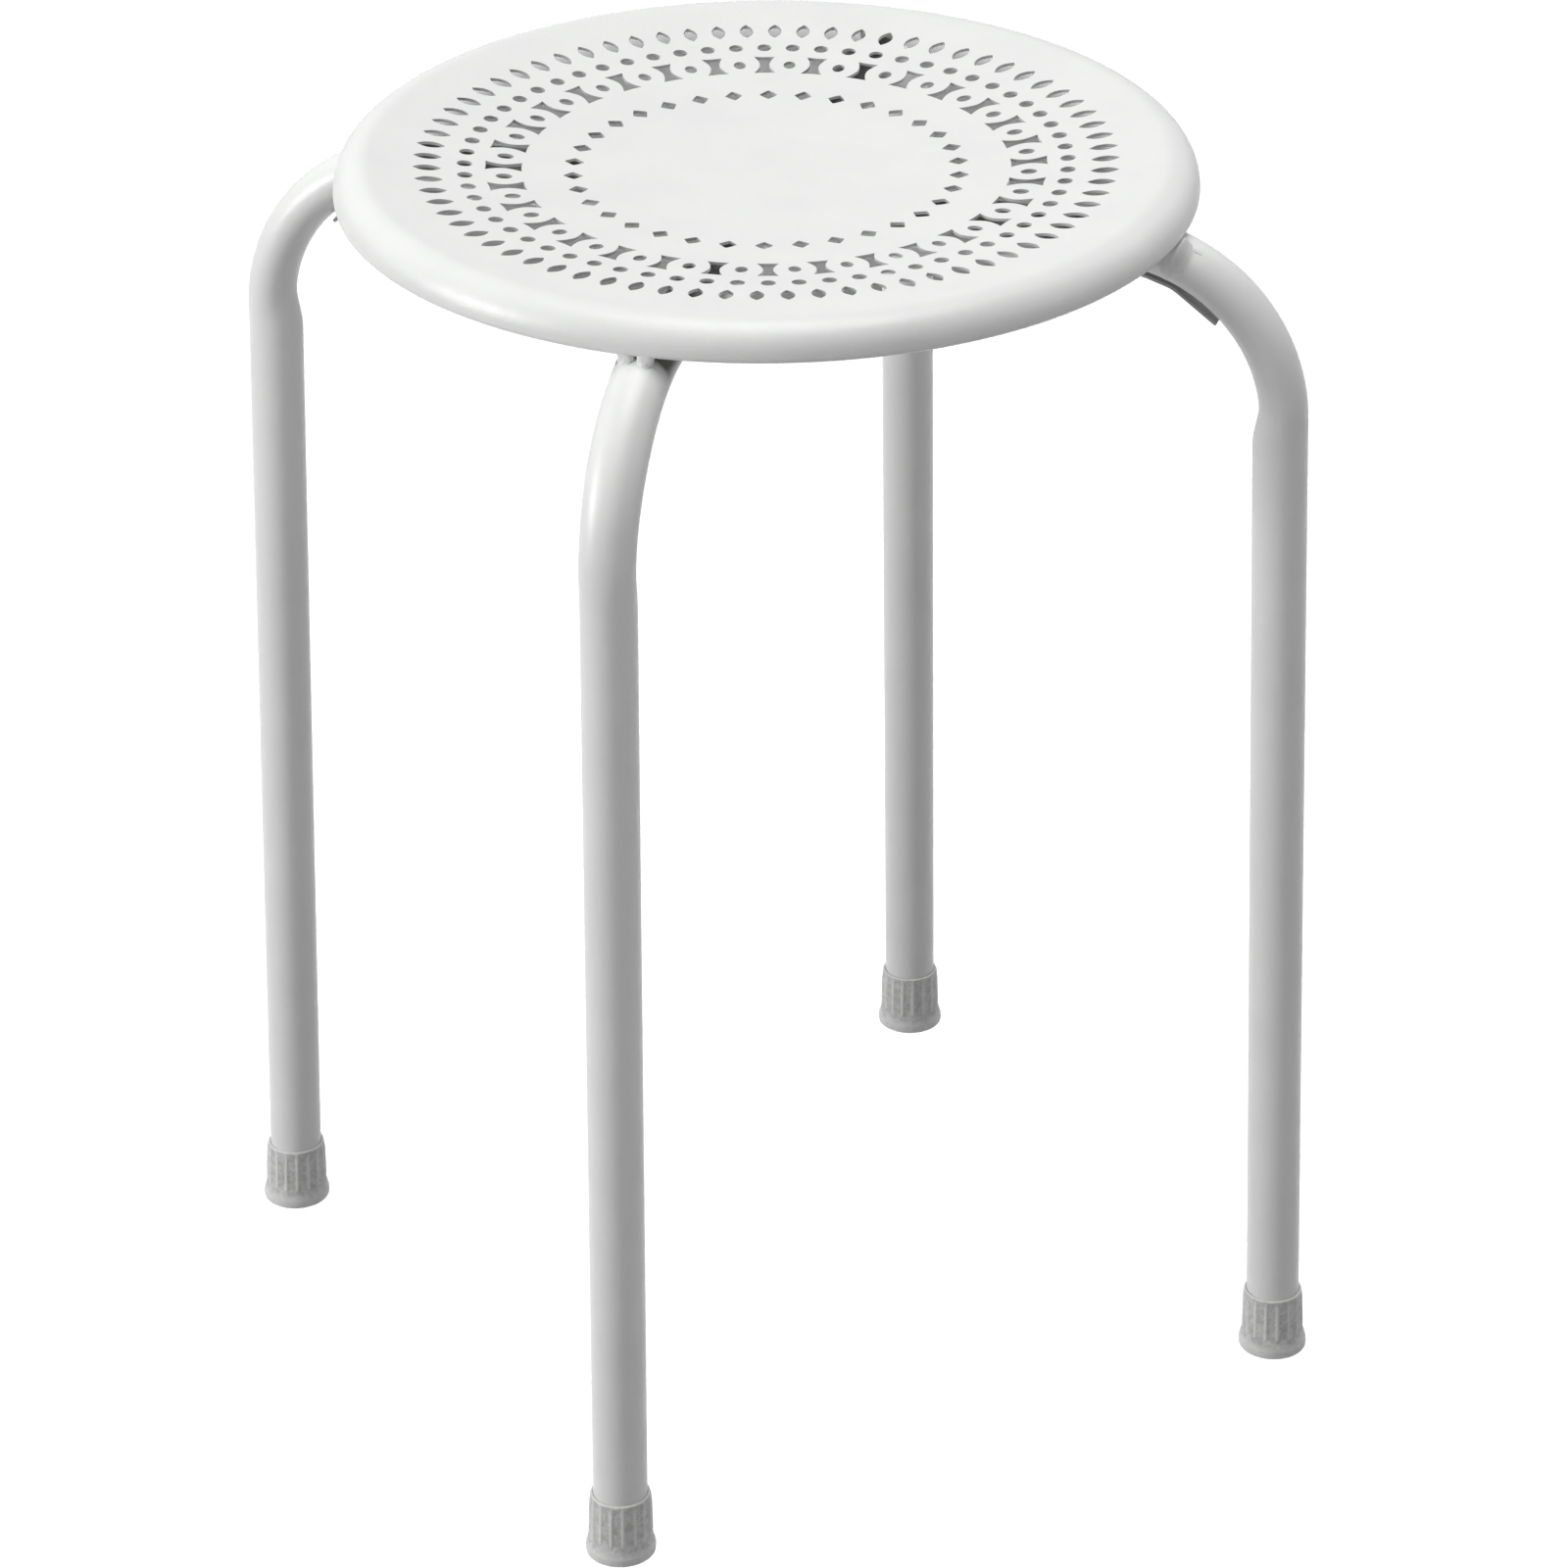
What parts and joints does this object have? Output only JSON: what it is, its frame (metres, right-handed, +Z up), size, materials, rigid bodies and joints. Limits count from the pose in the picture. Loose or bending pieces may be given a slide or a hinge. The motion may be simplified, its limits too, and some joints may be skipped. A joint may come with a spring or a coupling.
{
  "type": "stacking stool",
  "caption": "Round stacking stool with a dished, perforated steel seat on crossed bent-tube legs with plastic foot caps.",
  "frame": {"origin": "on the floor, under the middle of the seat", "axes": "+Z up; the four legs stand on +X, +Y, -X and -Y; the lower leg tube runs along X"},
  "size_m": [0.4046, 0.4046, 0.45],
  "materials": {
    "powder_coat": "white powder coat, semi-gloss with a fine orange peel",
    "weld_coat": "weld bead under the same white powder coat",
    "cap_plastic": "satin grey moulded plastic"
  },
  "bodies": {
    "root": {"seat_pan": "powder_coat", "leg_tube_left_right": "powder_coat", "leg_tube_front_back": "powder_coat", "stacking_strip_right": "powder_coat", "stacking_strip_back": "powder_coat", "stacking_strip_left": "powder_coat", "stacking_strip_front": "powder_coat", "foot_cap_right": "cap_plastic", "foot_cap_back": "cap_plastic", "foot_cap_left": "cap_plastic", "foot_cap_front": "cap_plastic", "rim_weld_right": "weld_coat", "rim_weld_back": "weld_coat", "rim_weld_left": "weld_coat", "rim_weld_front": "weld_coat", "strip_weld_right": "weld_coat", "strip_weld_back": "weld_coat", "strip_weld_left": "weld_coat", "strip_weld_front": "weld_coat", "crossing_weld_right": "weld_coat", "crossing_weld_left": "weld_coat"}
  },
  "joints": []
}
